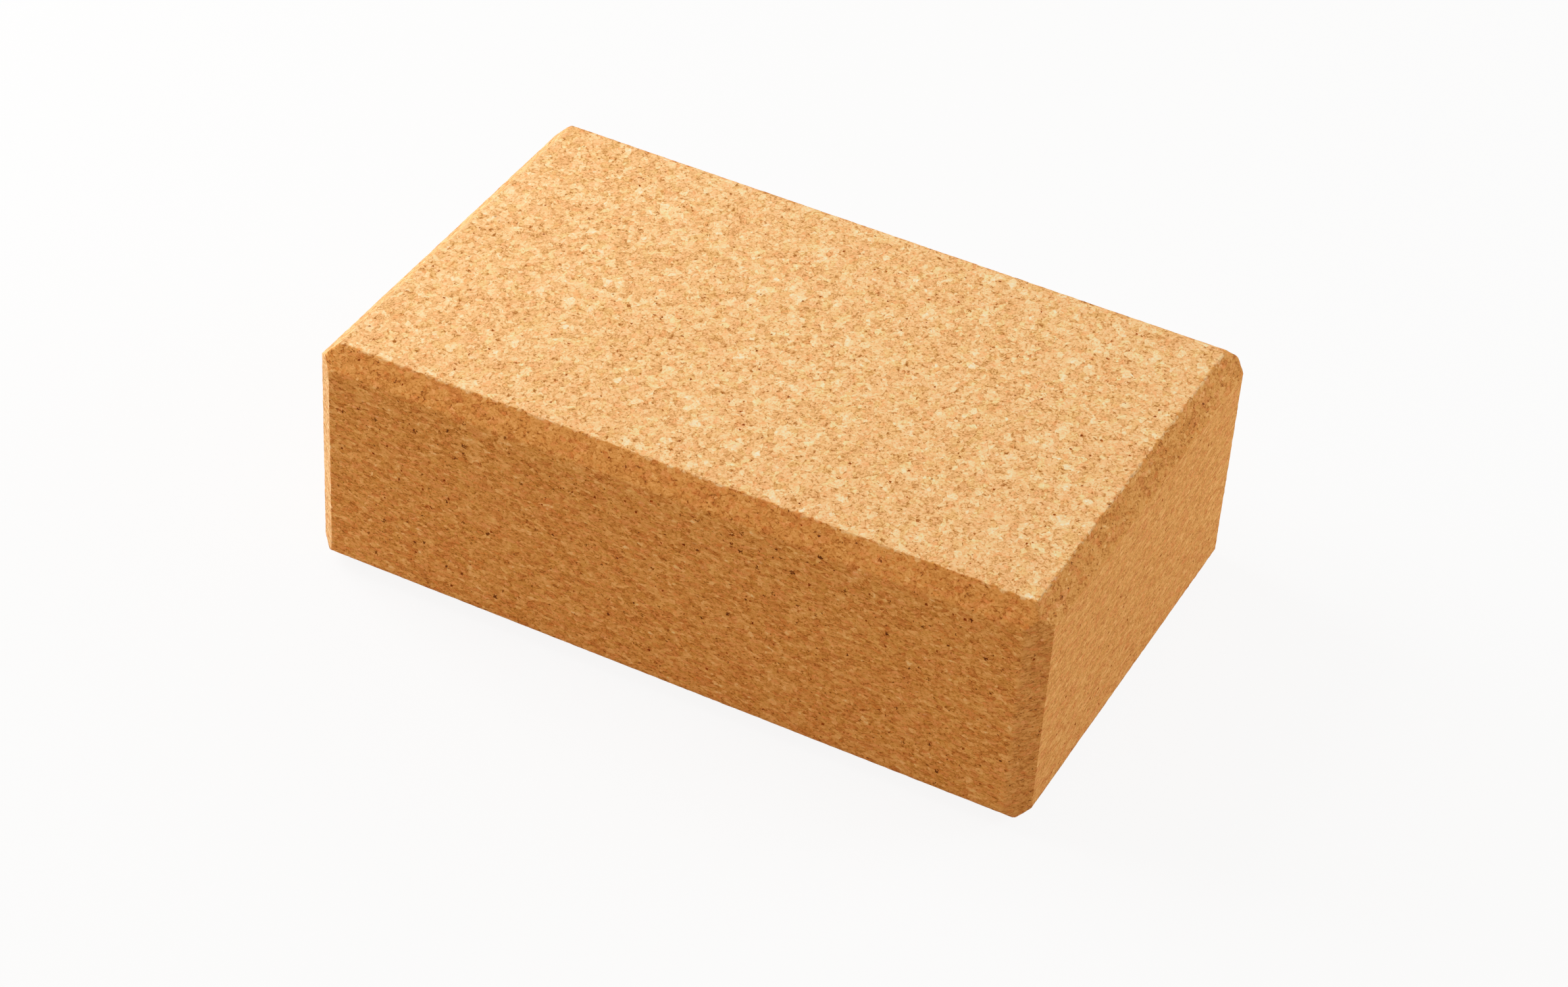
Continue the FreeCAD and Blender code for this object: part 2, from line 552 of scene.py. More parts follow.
        # Partly painted light: the pressed tones are paler for the top's sheen, the sawn ones deeper orange
        # for the sides' shade
        palettes = []
        for tones in (self.sawn_and_shaded_tones, self.pressed_and_lit_tones):
            palette = add_node(pattern.tree, "ShaderNodeValToRGB", {"Fac": tone})
            stops = palette.color_ramp.elements
            while len(stops) < len(tones):
                stops.new(HALF)
            for number, colour in enumerate(tones):
                stops[number].position = number / (len(tones) - 1)
                stops[number].color = linear(colour)
            palettes.append(palette)
        return add_node(
            pattern.tree, "ShaderNodeMix", {"Factor": pressed, "A": palettes[0], "B": palettes[1]},
            data_type="RGBA",
        )

    def tint(self, pattern: CorkPattern, colour: Node, pressed: Node) -> Node:
        """Lay flakes on the rims, rub the bevels, tint single granules and darken the pits.

        Args:
            pattern: The granules.
            colour: Colour so far.
            pressed: Where the pressed faces are, which have less of the peach tint and all of the straw,
            and a share of that on what leans left as a painted highlight.

        Returns:
            Node with the finished colour.
        """
        tree = pattern.tree
        dusty = add_node(tree, "ShaderNodeAttribute", attribute_name=Mark.DUST.value).outputs["Fac"]
        dusty = add_node(tree, "ShaderNodeMath", (dusty, pattern.fine["Blue"]), operation="MULTIPLY")
        tinted = (
            (dusty, self.dust),
            (pattern.coarse["Green"], self.peach),
            (pattern.coarse["Blue"], self.straw),
            (pattern.fine["Green"], self.rust),
        )
        levels = []
        for draw, tint in tinted:
            levels.append(add_node(tree, "ShaderNodeMapRange", {
                "Value": draw, "From Min": tint.draws[0], "From Max": tint.draws[1], "To Max": tint.share,
            }))
        dust, peach, straw, rust = levels

        # More of the peach where sawn, and no straw on the bevels and the ends
        strength = add_node(tree, "ShaderNodeMapRange", {"Value": pressed, "To Min": self.sawn_tint})
        peach = add_node(tree, "ShaderNodeMath", (peach, strength), operation="MULTIPLY")
        narrow = add_node(tree, "ShaderNodeMath", (pattern.bevel, pattern.end), operation="MAXIMUM")
        broad = add_node(tree, "ShaderNodeMapRange", {"Value": narrow, "From Min": 1.0, "From Max": 0.0})
        broad = add_node(tree, "ShaderNodeMath", (pressed, broad), operation="MAXIMUM")
        straw = add_node(tree, "ShaderNodeMath", (straw, broad), operation="MULTIPLY")
        rubbed = add_node(tree, "ShaderNodeMath", (pattern.bevel, self.rubbed_share), operation="MULTIPLY")
        # Painted shade: the pits' walls and floors are darkened, on top of the shade their depth gives
        pit = add_node(tree, "ShaderNodeAttribute", attribute_name=Mark.PIT.value).outputs["Fac"]
        layers = (
            ("MIX", dust, self.dust.colour),
            ("MIX", rubbed, self.rubbed),
            ("MULTIPLY", peach, self.peach.colour),
            ("MULTIPLY", straw, self.straw.colour),
            ("MULTIPLY", rust, self.rust.colour),
            ("MULTIPLY", pit, self.pit),
        )
        for blend, factor, shade in layers:
            colour = add_node(
                tree, "ShaderNodeMix", {"Factor": factor, "A": colour, "B": linear(shade)},
                data_type="RGBA", blend_type=blend,
            )
        return colour


@dataclass
class CorkBlock:
    """The block: a grid over the bevelled cuboid, with the granules' relief, worn rims and pits.

    Sizes in millimetres are filled in from the CAD node. The cells are counts of mesh faces, and a band
    in cells is how far from a line or a corner something fades. facing is how much of a face's normal
    lies along an axis when the face looks that way, and leaning the same for a bevel.
    """

    length: float
    width: float
    height: float
    name: str = "pressed_cork_block"
    bevel: float = 6.0
    cells_along: int = 192
    cells_across: int = 118
    cells_up: int = 62
    bevel_cells: int = 4
    half_cell: float = 0.5
    jitter: float = 0.33
    seed: int = 7
    granules: Granules = field(default_factory=Granules)

    # Which face is which. The bevels that lean left get a painted highlight, paler than the others, and the
    # left end a little of it
    facing: float = 0.9
    leaning: float = 0.5
    left_painted_highlight: float = 0.66
    left_end_painted_highlight: float = 0.38

    # Relief of the granules, as steps from one to the next and as creases between them
    granule_step: float = 0.10
    crease_depth: float = 0.12
    crease_width: float = 0.25

    # Worn rims, loose flakes along those of the ends, and corners rubbed round, less so at the top
    rim_cells: float = 1.5
    rim_wear: float = 0.20
    rim_bite: float = 2.4
    bite_detail: float = 2.0
    bite_draws: tuple[float, float] = (0.4, 0.8)
    rim_core: float = 0.9
    rim_relief: float = 0.5
    dust_cells: float = 2.0
    corner_cells: int = 2
    corner_passes: int = 1
    middle_cells: float = 1.0
    top_rub: float = 0.4

    # Pits of missing granules: how many, how deep, how wide at the mouth and at the bottom
    pit_share: float = 0.007
    pit_depth: float = 0.35
    pit_depths: tuple[float, float] = (0.4, 1.0)
    pit_mouths: tuple[float, float] = (0.35, 0.65)
    pit_floor: float = 0.7
    pit_clear: float = 0.01

    # Bends that stay crisp, except along the foot of each level bevel
    crisp_angle: float = 30.0
    foot_band: float = 0.6

    @classmethod
    def from_frame(cls) -> "CorkBlock":
        """Take the block's outer sizes from its CAD node."""
        low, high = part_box(CAD_NODE)
        return cls(*((high - low) / MM))

    def sizes(self) -> dict[str, tuple[str, Any]]:
        """Return the tree's inputs: name, then socket type and value."""
        lengths = {
            "Length": self.length, "Width": self.width, "Height": self.height, "Bevel": self.bevel,
            "Granule Step": self.granule_step, "Crease Depth": self.crease_depth,
            "Rim Wear": self.rim_wear, "Pit Depth": self.pit_depth, "Foot Band": self.foot_band,
        }
        counts = {
            "Cells Along": self.cells_along, "Cells Across": self.cells_across, "Cells Up": self.cells_up,
            "Bevel Cells": self.bevel_cells, "Corner Cells": self.corner_cells,
            "Corner Passes": self.corner_passes, "Seed": self.seed,
        }
        shares = {
            "Jitter": self.jitter, "Pit Share": self.pit_share, "Top Rub": self.top_rub,
            "Left Painted Highlight": self.left_painted_highlight, "Left End Painted Highlight": self.left_end_painted_highlight,
        }
        return {
            **{label: ("NodeSocketFloat", value * MM) for label, value in lengths.items()},
            **{label: ("NodeSocketInt", value) for label, value in counts.items()},
            **{label: ("NodeSocketFloat", value) for label, value in shares.items()},
        }

    def build(self, material: Material) -> Object:
        """Run the tree once and keep its result as a plain mesh.

        Args:
            material: Finish of the piece.

        Returns:
            The piece, at the origin, with no modifier left.
        """
        tree = bpy.data.node_groups.new(f"{self.name} shape", "GeometryNodeTree")
        tree.interface.new_socket("Geometry", in_out="INPUT", socket_type="NodeSocketGeometry")
        values: dict[str, Any] = {}
        for label, (kind, value) in self.sizes().items():
            values[tree.interface.new_socket(label, in_out="INPUT", socket_type=kind).identifier] = value
        finish = tree.interface.new_socket("Finish", in_out="INPUT", socket_type="NodeSocketMaterial")
        values[finish.identifier] = material
        tree.interface.new_socket("Geometry", in_out="OUTPUT", socket_type="NodeSocketGeometry")
        given = add_node(tree, "NodeGroupInput").outputs
        real = add_node(tree, "GeometryNodeRealizeInstances", (self.grow(tree, given),))
        dressed = add_node(tree, "GeometryNodeSetMaterial", {0: real, "Material": given["Finish"]})
        add_node(tree, "NodeGroupOutput", (dressed,))

        piece = bpy.data.objects.new(self.name, bpy.data.meshes.new(self.name))
        bpy.context.scene.collection.objects.link(piece)
        modifier = piece.modifiers.new("shape", "NODES")
        modifier.node_group = tree
        for identifier, value in values.items():
            modifier[identifier] = value
        depsgraph = bpy.context.evaluated_depsgraph_get()
        mesh = bpy.data.meshes.new_from_object(
            piece.evaluated_get(depsgraph), preserve_all_data_layers=True, depsgraph=depsgraph
        )
        piece.modifiers.remove(modifier)
        piece.data = mesh
        mesh.name = self.name
        return piece

    def grow(self, tree: NodeTree, given: NodeOutputs) -> Node:
        """Add the nodes that make the block.

        Args:
            tree: Tree that gets the nodes.
            given: Outputs of the group's input node, by the names that sizes gives.

        Returns:
            Node whose output is the block.
        """
        shape = self.wrap(tree, given)
        shape = self.mark_faces(tree, given, shape)
        shape = self.rub_corners(tree, given, shape)
        shape = self.roughen(tree, given, shape)
        shape = self.pit(tree, given, shape)
        return self.shade(tree, given, shape)

    def wrap(self, tree: NodeTree, given: NodeOutputs) -> Node:
        """Wrap a grid round the bevelled cuboid, with its bevels mitred at the corners.

        The grid starts as a cuboid of unit cells. The outermost cells of each face become half of a
        bevel, so that the cuboid's edges run down the middles of the bevels.

        Args:
            tree: Tree that gets the nodes.
            given: Outputs of the group's input node.

        Returns:
            Node whose output is the bare block, marked with its rims, dusty edges and corners.
        """
        cells = add_node(
            tree, "ShaderNodeCombineXYZ", (given["Cells Along"], given["Cells Across"], given["Cells Up"])
        )
        points = add_node(tree, "ShaderNodeVectorMath", (cells, ONE), operation="ADD")
        points = add_node(tree, "ShaderNodeSeparateXYZ", (points,)).outputs
        grid = add_node(tree, "GeometryNodeMeshCube", {
            "Size": cells, "Vertices X": points[0], "Vertices Y": points[1], "Vertices Z": points[2],
        })

        # Cells in from the faces, and past the bevels, along each axis
        half_cells = add_node(tree, "ShaderNodeVectorMath", {0: cells, "Scale": HALF}, operation="SCALE")
        here = add_node(tree, "GeometryNodeInputPosition")
        spread = add_node(tree, "ShaderNodeVectorMath", (here,), operation="ABSOLUTE")
        steps = add_node(tree, "ShaderNodeVectorMath", (half_cells, spread), operation="SUBTRACT")
        past = add_node(tree, "ShaderNodeVectorMath", (steps, given["Bevel Cells"]), operation="SUBTRACT")
        rim, dust = self.rims(tree, steps, past)
        corner = self.corners(tree, given, steps)
        for mark, value in ((Mark.RIM, rim), (Mark.DUST, dust), (Mark.CORNER, corner)):
            grid = add_node(
                tree, "GeometryNodeStoreNamedAttribute", {0: grid, "Name": mark.value, "Value": value},
                data_type="FLOAT", domain="POINT",
            )

        # Uneven cells, except across the lines where a bevel starts
        inner = add_node(tree, "ShaderNodeMapRange", (past, ZERO, ONE, ZERO, ONE), data_type="FLOAT_VECTOR")
        draw = add_node(
            tree, "FunctionNodeRandomValue", {"Min": (-1, -1, -1), "Max": ONE, "Seed": given["Seed"]},
            data_type="FLOAT_VECTOR",
        )
        shift = add_node(tree, "ShaderNodeVectorMath", (draw, inner), operation="MULTIPLY")
        shift = add_node(
            tree, "ShaderNodeVectorMath", {0: shift, "Scale": given["Jitter"]}, operation="SCALE"
        )
        shaken = add_node(tree, "GeometryNodeSetPosition", {0: grid, "Offset": shift})
        return self.fold(tree, given, shaken, steps, half_cells)

    def rims(self, tree: NodeTree, steps: Node, past: Node) -> tuple[Node, Node]:
        """Find the rims, where flat faces turn into bevels, and those that flakes lie along.

        Args:
            tree: Tree that gets the nodes.
            steps: Cells in from the faces, along each axis.
            past: Cells past the bevels, along each axis.

        Returns:
            Node with 1 on a rim, and node with 1 on a rim with flakes.
        """
        away = add_node(tree, "ShaderNodeVectorMath", (past,), operation="ABSOLUTE")
        away = add_node(tree, "ShaderNodeSeparateXYZ", (away,)).outputs
        nearest = add_node(tree, "ShaderNodeMath", (away[0], away[1]), operation="MINIMUM")
        nearest = add_node(tree, "ShaderNodeMath", (nearest, away[2]), operation="MINIMUM")
        rim = add_node(
            tree, "ShaderNodeMapRange", {"Value": nearest, "From Min": self.rim_cells, "From Max": 0.0}
        )

        # Flakes lie along the rims of the top and base at the block's ends
        dust = add_node(
            tree, "ShaderNodeMapRange", {"Value": away[0], "From Min": self.dust_cells, "From Max": 0.0}
        )
        inward = add_node(tree, "ShaderNodeSeparateXYZ", (steps,)).outputs
        level = add_node(tree, "ShaderNodeMath", (inward[2], self.half_cell), operation="LESS_THAN")
        beyond = add_node(tree, "ShaderNodeSeparateXYZ", (past,)).outputs
        inside = add_node(tree, "ShaderNodeMath", (beyond[1], -self.half_cell), operation="GREATER_THAN")
        for limit in (level, inside):
            dust = add_node(tree, "ShaderNodeMath", (dust, limit), operation="MULTIPLY")
        return rim, dust

    def corners(self, tree: NodeTree, given: NodeOutputs, steps: Node) -> Node:
        """Find the corners, which are near three faces at once.

        Args:
            tree: Tree that gets the nodes.
            given: Outputs of the group's input node.
            steps: Cells in from the faces, along each axis.

        Returns:
            Node with how much a place is rubbed, up to 1 at a corner of the base.
        """
        near = add_node(
            tree, "ShaderNodeMapRange", (steps, given["Corner Cells"], ZERO, ZERO, ONE),
            data_type="FLOAT_VECTOR",
        )
        near = add_node(tree, "ShaderNodeSeparateXYZ", (near,)).outputs
        here = add_node(tree, "GeometryNodeInputPosition")
        up = add_node(tree, "ShaderNodeSeparateXYZ", (here,)).outputs[2]
        rub = add_node(tree, "ShaderNodeMapRange", {
            "Value": up, "From Min": -self.middle_cells, "From Max": self.middle_cells,
            "To Min": 1.0, "To Max": given["Top Rub"],
        })
        corner: Any = near[0]
        for limit in (near[1], near[2], rub):
            corner = add_node(tree, "ShaderNodeMath", (corner, limit), operation="MULTIPLY")
        return corner

    def fold(self, tree: NodeTree, given: NodeOutputs, grid: Node, steps: Node, half_cells: Node) -> Node:
        """Bring the grid to its real size and fold its outermost cells over into bevels.

        Args:
            tree: Tree that gets the nodes.
            given: Outputs of the group's input node.
            grid: Cuboid of cells.
            steps: Cells in from the faces, along each axis.
            half_cells: Cells from the middle to the faces, along each axis.

        Returns:
            Node whose output is the bare block, standing on its base.
        """
        size = add_node(tree, "ShaderNodeCombineXYZ", (given["Length"], given["Width"], given["Height"]))
        half_size = add_node(tree, "ShaderNodeVectorMath", {0: size, "Scale": HALF}, operation="SCALE")
        half_flat = add_node(
            tree, "ShaderNodeVectorMath", (half_size, given["Bevel"]), operation="SUBTRACT"
        )

        # Distance in from each pair of faces, before the bevel is folded over
        in_bevel = add_node(
            tree, "ShaderNodeMapRange",
            (steps, ZERO, given["Bevel Cells"], ZERO, given["Bevel"]),
            data_type="FLOAT_VECTOR",
        )
        in_flat = add_node(
            tree, "ShaderNodeMapRange",
            (steps, given["Bevel Cells"], half_cells, ZERO, half_flat),
            data_type="FLOAT_VECTOR",
        )
        inset = add_node(tree, "ShaderNodeVectorMath", (in_bevel, in_flat), operation="ADD")

        # Across a face the bevel takes up half of its own leg; through it, the rest
        halved = add_node(tree, "ShaderNodeVectorMath", (inset, given["Bevel"]), operation="ADD")
        halved = add_node(tree, "ShaderNodeVectorMath", {0: halved, "Scale": HALF}, operation="SCALE")
        across = add_node(tree, "ShaderNodeVectorMath", (inset, halved), operation="MAXIMUM")
        drop = add_node(tree, "ShaderNodeVectorMath", (given["Bevel"], inset), operation="SUBTRACT")
        drop = add_node(tree, "ShaderNodeVectorMath", (drop, ZERO), operation="MAXIMUM")
        drop = add_node(tree, "ShaderNodeVectorMath", {0: drop, "Scale": HALF}, operation="SCALE")
        x, y, z = add_node(tree, "ShaderNodeSeparateXYZ", (drop,)).outputs
        ahead = add_node(tree, "ShaderNodeCombineXYZ", (y, z, x))
        behind = add_node(tree, "ShaderNodeCombineXYZ", (z, x, y))
        through = add_node(tree, "ShaderNodeVectorMath", (ahead, behind), operation="MAXIMUM")
        within = add_node(tree, "ShaderNodeVectorMath", (steps, ONE), operation="MINIMUM")
        change = add_node(tree, "ShaderNodeVectorMath", (across, through), operation="SUBTRACT")
        depth = add_node(tree, "ShaderNodeVectorMath", (change, within, through), operation="MULTIPLY_ADD")
        reach = add_node(tree, "ShaderNodeVectorMath", (half_size, depth), operation="SUBTRACT")
        here = add_node(tree, "GeometryNodeInputPosition")
        side = add_node(tree, "ShaderNodeVectorMath", (here,), operation="SIGN")
        centre = add_node(tree, "ShaderNodeVectorMath", (half_size, (0, 0, 1)), operation="MULTIPLY")
        place = add_node(tree, "ShaderNodeVectorMath", (side, reach, centre), operation="MULTIPLY_ADD")
        return add_node(tree, "GeometryNodeSetPosition", {0: grid, "Position": place})

    def mark_faces(self, tree: NodeTree, given: NodeOutputs, shape: Node) -> Node:
        """Mark the pressed faces, the bevels and the ends.

        Args:
            tree: Tree that gets the nodes.
            given: Outputs of the group's input node.
            shape: The bare block.

        Returns:
            Node whose output is the marked block.
        """
        normal = add_node(tree, "GeometryNodeInputNormal")
        sideways = add_node(tree, "ShaderNodeSeparateXYZ", (normal,)).outputs[0]
        leans = add_node(tree, "ShaderNodeVectorMath", (normal,), operation="ABSOLUTE")
        along, across, up = add_node(tree, "ShaderNodeSeparateXYZ", (leans,)).outputs

        # The pressed faces count as 1, and the faces that lean left take a share of it as a painted
        # highlight, the bevels more than the left end
        pressed = add_node(tree, "ShaderNodeMath", (up, self.facing), operation="GREATER_THAN")
        left = add_node(tree, "ShaderNodeMath", (sideways, -self.leaning), operation="LESS_THAN")
        left_end = add_node(tree, "ShaderNodeMath", (sideways, -self.facing), operation="LESS_THAN")
        pale = add_node(tree, "ShaderNodeMapRange", {
            "Value": left_end, "To Min": given["Left Painted Highlight"], "To Max": given["Left End Painted Highlight"],
        })
        pressed = add_node(tree, "ShaderNodeMath", (left, pale, pressed), operation="MULTIPLY_ADD")

        # A bevel faces two ways at once, so that no part of its normal is near 1
        most = add_node(tree, "ShaderNodeMath", (along, across), operation="MAXIMUM")
        most = add_node(tree, "ShaderNodeMath", (most, up), operation="MAXIMUM")
        sloped = add_node(tree, "ShaderNodeMath", (most, self.facing), operation="LESS_THAN")
        end = add_node(tree, "ShaderNodeMath", (along, self.facing), operation="GREATER_THAN")
        for mark, value in ((Mark.PRESSED_AND_LIT, pressed), (Mark.BEVEL, sloped), (Mark.END, end)):
            by_face = add_node(
                tree, "GeometryNodeFieldOnDomain", (value,), data_type="FLOAT", domain="FACE"
            )
            shape = add_node(
                tree, "GeometryNodeStoreNamedAttribute", {0: shape, "Name": mark.value, "Value": by_face},
                data_type="FLOAT", domain="POINT",
            )
        return shape

    def rub_corners(self, tree: NodeTree, given: NodeOutputs, shape: Node) -> Node:
        """Rub the corners round, those of the base more than those of the top.

        Args:
            tree: Tree that gets the nodes.
            given: Outputs of the group's input node.
            shape: The marked block.

        Returns:
            Node whose output is the block with its corners rubbed.
        """
        here = add_node(tree, "GeometryNodeInputPosition")
        corner = add_node(
            tree, "GeometryNodeInputNamedAttribute", {"Name": Mark.CORNER.value}, data_type="FLOAT"
        )
        rubbed = add_node(
            tree, "GeometryNodeBlurAttribute",
            {"Value": here, "Iterations": given["Corner Passes"], "Weight": corner},
            data_type="FLOAT_VECTOR",
        )
        return add_node(tree, "GeometryNodeSetPosition", {0: shape, "Position": rubbed})

    def roughen(self, tree: NodeTree, given: NodeOutputs, shape: Node) -> Node:
        """Sink the creases between granules, step the granules and wear the rims.

        Args:
            tree: Tree that gets the nodes.
            given: Outputs of the group's input node.
            shape: The block with its corners rubbed.

        Returns:
            Node whose output is the block with its relief.
        """
        here = add_node(tree, "GeometryNodeInputPosition").outputs[0]
        cells = self.granules.place(tree, here, self.granules.press)
        granule = {"Vector": cells, "Scale": 1 / self.granules.coarse}
        coarse = add_node(tree, "ShaderNodeTexVoronoi", granule)
        draw = add_node(tree, "FunctionNodeSeparateColor", (coarse.outputs["Color"],))
        edge = add_node(tree, "ShaderNodeTexVoronoi", granule, feature="DISTANCE_TO_EDGE")
        crease = add_node(
            tree, "ShaderNodeMapRange", {"Value": edge, "From Min": self.crease_width, "From Max": 0.0}
        )
        sink = add_node(
            tree, "ShaderNodeMath", (draw.outputs[0], given["Granule Step"]), operation="MULTIPLY"
        )
        sink = add_node(
            tree, "ShaderNodeMath", (crease, given["Crease Depth"], sink), operation="MULTIPLY_ADD"
        )

        # Bites along the rims, which keep only part of the relief
        rim = add_node(tree, "GeometryNodeInputNamedAttribute", {"Name": Mark.RIM.value}, data_type="FLOAT")
        on_rim = add_node(tree, "ShaderNodeMath", (rim, self.rim_core), operation="GREATER_THAN")
        bites = add_node(
            tree, "ShaderNodeTexNoise",
            {"Vector": cells, "Scale": 1 / self.rim_bite, "Detail": self.bite_detail},
        )
        bite = add_node(tree, "ShaderNodeMapRange", {
            "Value": bites.outputs[0], "From Min": self.bite_draws[0], "From Max": self.bite_draws[1],
        })
        bite = add_node(tree, "ShaderNodeMath", (bite, on_rim), operation="MULTIPLY")
        sink = add_node(tree, "ShaderNodeMath", (bite, given["Rim Wear"], sink), operation="MULTIPLY_ADD")
        inward = add_node(
            tree, "ShaderNodeMapRange", {"Value": rim, "To Min": -1.0, "To Max": -self.rim_relief}
        )
        inward = add_node(tree, "ShaderNodeMath", (sink, inward), operation="MULTIPLY")
        normal = add_node(tree, "GeometryNodeInputNormal")
        offset = add_node(tree, "ShaderNodeVectorMath", {0: normal, "Scale": inward}, operation="SCALE")
        return add_node(tree, "GeometryNodeSetPosition", {0: shape, "Offset": offset})

    def pit(self, tree: NodeTree, given: NodeOutputs, shape: Node) -> Node:
        """Open the pits that missing granules leave, clear of the rims.

        Args:
            tree: Tree that gets the nodes.
            given: Outputs of the group's input node.
            shape: The block with its relief.

        Returns:
            Node whose output is the block with its pits.
        """
        rim = add_node(tree, "GeometryNodeInputNamedAttribute", {"Name": Mark.RIM.value}, data_type="FLOAT")
        clear = add_node(
            tree, "FunctionNodeCompare", {"A": rim, "B": self.pit_clear}, data_type="FLOAT",
            operation="LESS_THAN",
        )
        chance = add_node(
            tree, "FunctionNodeRandomValue", {"Probability": given["Pit Share"], "Seed": given["Seed"]},
            data_type="BOOLEAN",
        )
        chosen = add_node(tree, "FunctionNodeBooleanMath", (clear, chance), operation="AND")
        mouth = add_node(
            tree, "GeometryNodeExtrudeMesh",
            {"Mesh": shape, "Selection": chosen, "Offset Scale": 0.0, "Individual": True}, mode="FACES",
        )
        mouth_share = add_node(
            tree, "FunctionNodeRandomValue",
            {"Min": self.pit_mouths[0], "Max": self.pit_mouths[1], "Seed": given["Seed"]},
            data_type="FLOAT",
        )
        inset = add_node(
            tree, "GeometryNodeScaleElements",
            {0: mouth.outputs["Mesh"], "Selection": mouth.outputs["Top"], "Scale": mouth_share},
            domain="FACE",
        )
        depth = add_node(
            tree, "FunctionNodeRandomValue",
            {"Min": -self.pit_depths[0], "Max": -self.pit_depths[1], "Seed": given["Seed"]},
            data_type="FLOAT",
        )
        depth = add_node(tree, "ShaderNodeMath", (depth, given["Pit Depth"]), operation="MULTIPLY")
        dug = add_node(
            tree, "GeometryNodeExtrudeMesh",
            {"Mesh": inset, "Selection": mouth.outputs["Top"], "Offset Scale": depth, "Individual": True},
            mode="FACES",
        )
        narrowed = add_node(
            tree, "GeometryNodeScaleElements",
            {0: dug.outputs["Mesh"], "Selection": dug.outputs["Top"], "Scale": self.pit_floor},
            domain="FACE",
        )
        either = add_node(
            tree, "FunctionNodeBooleanMath", (dug.outputs["Top"], dug.outputs["Side"]), operation="OR"
        )
        return add_node(
            tree, "GeometryNodeStoreNamedAttribute",
            {0: narrowed, "Name": Mark.PIT.value, "Value": either}, data_type="FLOAT", domain="FACE",
        )

    def shade(self, tree: NodeTree, given: NodeOutputs, shape: Node) -> Node:
        """Shade the block smooth, and keep its bends crisp but for the foot of each level bevel.

        Args:
            tree: Tree that gets the nodes.
            given: Outputs of the group's input node.
            shape: The block with its pits.

        Returns:
            Node whose output is the finished block.
        """
        smooth = add_node(
            tree, "GeometryNodeSetShadeSmooth", {0: shape, "Shade Smooth": True}, domain="FACE"
        )
        angle = add_node(tree, "GeometryNodeInputMeshEdgeAngle").outputs[0]
        bent = add_node(
            tree, "FunctionNodeCompare", {"A": angle, "B": math.radians(self.crisp_angle)},
            data_type="FLOAT", operation="GREATER_THAN",
        )
        half_height = add_node(tree, "ShaderNodeMath", (given["Height"], HALF), operation="MULTIPLY")
        here = add_node(tree, "GeometryNodeInputPosition")
        away = add_node(tree, "ShaderNodeSeparateXYZ", (here,)).outputs[2]
        away = add_node(tree, "ShaderNodeMath", (away, half_height), operation="SUBTRACT")
        away = add_node(tree, "ShaderNodeMath", (away,), operation="ABSOLUTE")
        foot = add_node(tree, "ShaderNodeMath", (half_height, given["Bevel"]), operation="SUBTRACT")
        elsewhere = add_node(
            tree, "FunctionNodeCompare", {"A": away, "B": foot, "Epsilon": given["Foot Band"]},
            data_type="FLOAT", operation="NOT_EQUAL",
        )
        crisp = add_node(tree, "FunctionNodeBooleanMath", (bent, elsewhere), operation="AND")
        return add_node(
            tree, "GeometryNodeSetShadeSmooth", {0: smooth, "Selection": crisp, "Shade Smooth": False},
            domain="EDGE",
        )


@dataclass(frozen=True)
class Softbox:
    """A square studio lamp: where it stands as seen from the block, and how strong it is.

    width and distance are in metres.
    """

    name: str
    towards: tuple[float, float, float]
    watts: float
    width: float = 0.7
    distance: float = 1.1
    colour: str = WHITE

    def build(self, aim: Vector) -> None:
        """Hang the lamp and point it at the block.

        Args:
            aim: Point that the lamp faces, in metres.
        """
        lamp = bpy.data.lights.new(self.name, "AREA")
        lamp.shape = "SQUARE"
        lamp.size = self.width
        lamp.energy = self.watts
        lamp.color = linear(self.colour)[:3]
        holder = bpy.data.objects.new(self.name, lamp)
        direction = Vector(self.towards).normalized()
        holder.location = aim + direction * self.distance
        holder.rotation_euler = direction.to_track_quat("Z", "Y").to_euler()
        bpy.context.scene.collection.objects.link(holder)


